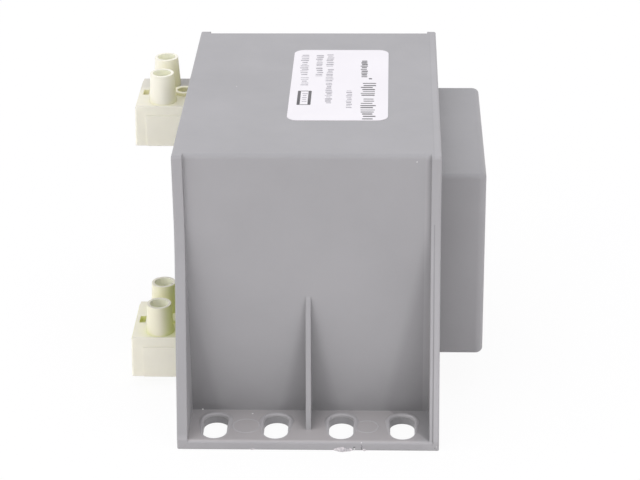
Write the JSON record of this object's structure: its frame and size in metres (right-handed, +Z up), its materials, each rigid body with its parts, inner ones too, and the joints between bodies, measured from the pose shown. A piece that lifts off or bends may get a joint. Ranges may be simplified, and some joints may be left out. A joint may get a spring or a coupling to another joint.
{
  "type": "enclosed potted transformer",
  "caption": "Grey potted transformer in a flanged moulded case with slotted feet, a coil cover on one side and cream screw terminal strips on the other.",
  "frame": {"origin": "on the mounting plane, midway between the front and back slots and between the two rims", "axes": "+X towards the coil cover, away from the terminal strips; +Y from the front foot to the back foot; +Z up from the mounting plane"},
  "size_m": [0.0941, 0.119, 0.0742],
  "materials": {
    "case_plastic": "satin grey moulded plastic",
    "resin": "grey cast resin",
    "lamination_steel": "stacked silicon steel sheets",
    "former_plastic": "natural moulded nylon",
    "copper": "enamelled copper wire",
    "tape": "yellow polyester tape",
    "strip_plastic": "natural polyamide",
    "clamp_brass": "turned and plated brass",
    "screw_steel": "zinc plated",
    "lead_insulation": "flexible black insulation",
    "label_film": "white film"
  },
  "bodies": {
    "root": {"moulded_case": "case_plastic", "potting_resin": "resin", "core_e_stack": "lamination_steel", "core_i_stack": "lamination_steel", "bobbin": "former_plastic", "primary_winding": "copper", "interlayer_tape": "tape", "secondary_winding": "copper", "outer_tape": "tape", "front_terminal_strip": "strip_plastic", "rear_terminal_strip": "strip_plastic", "front_near_clamp": "clamp_brass", "front_far_clamp": "clamp_brass", "rear_near_clamp": "clamp_brass", "rear_far_clamp": "clamp_brass", "front_terminal_screws": "screw_steel", "rear_terminal_screws": "screw_steel", "front_near_lead": "lead_insulation", "front_far_lead": "lead_insulation", "rear_near_lead": "lead_insulation", "rear_far_lead": "lead_insulation", "rating_label": "label_film"}
  },
  "joints": []
}
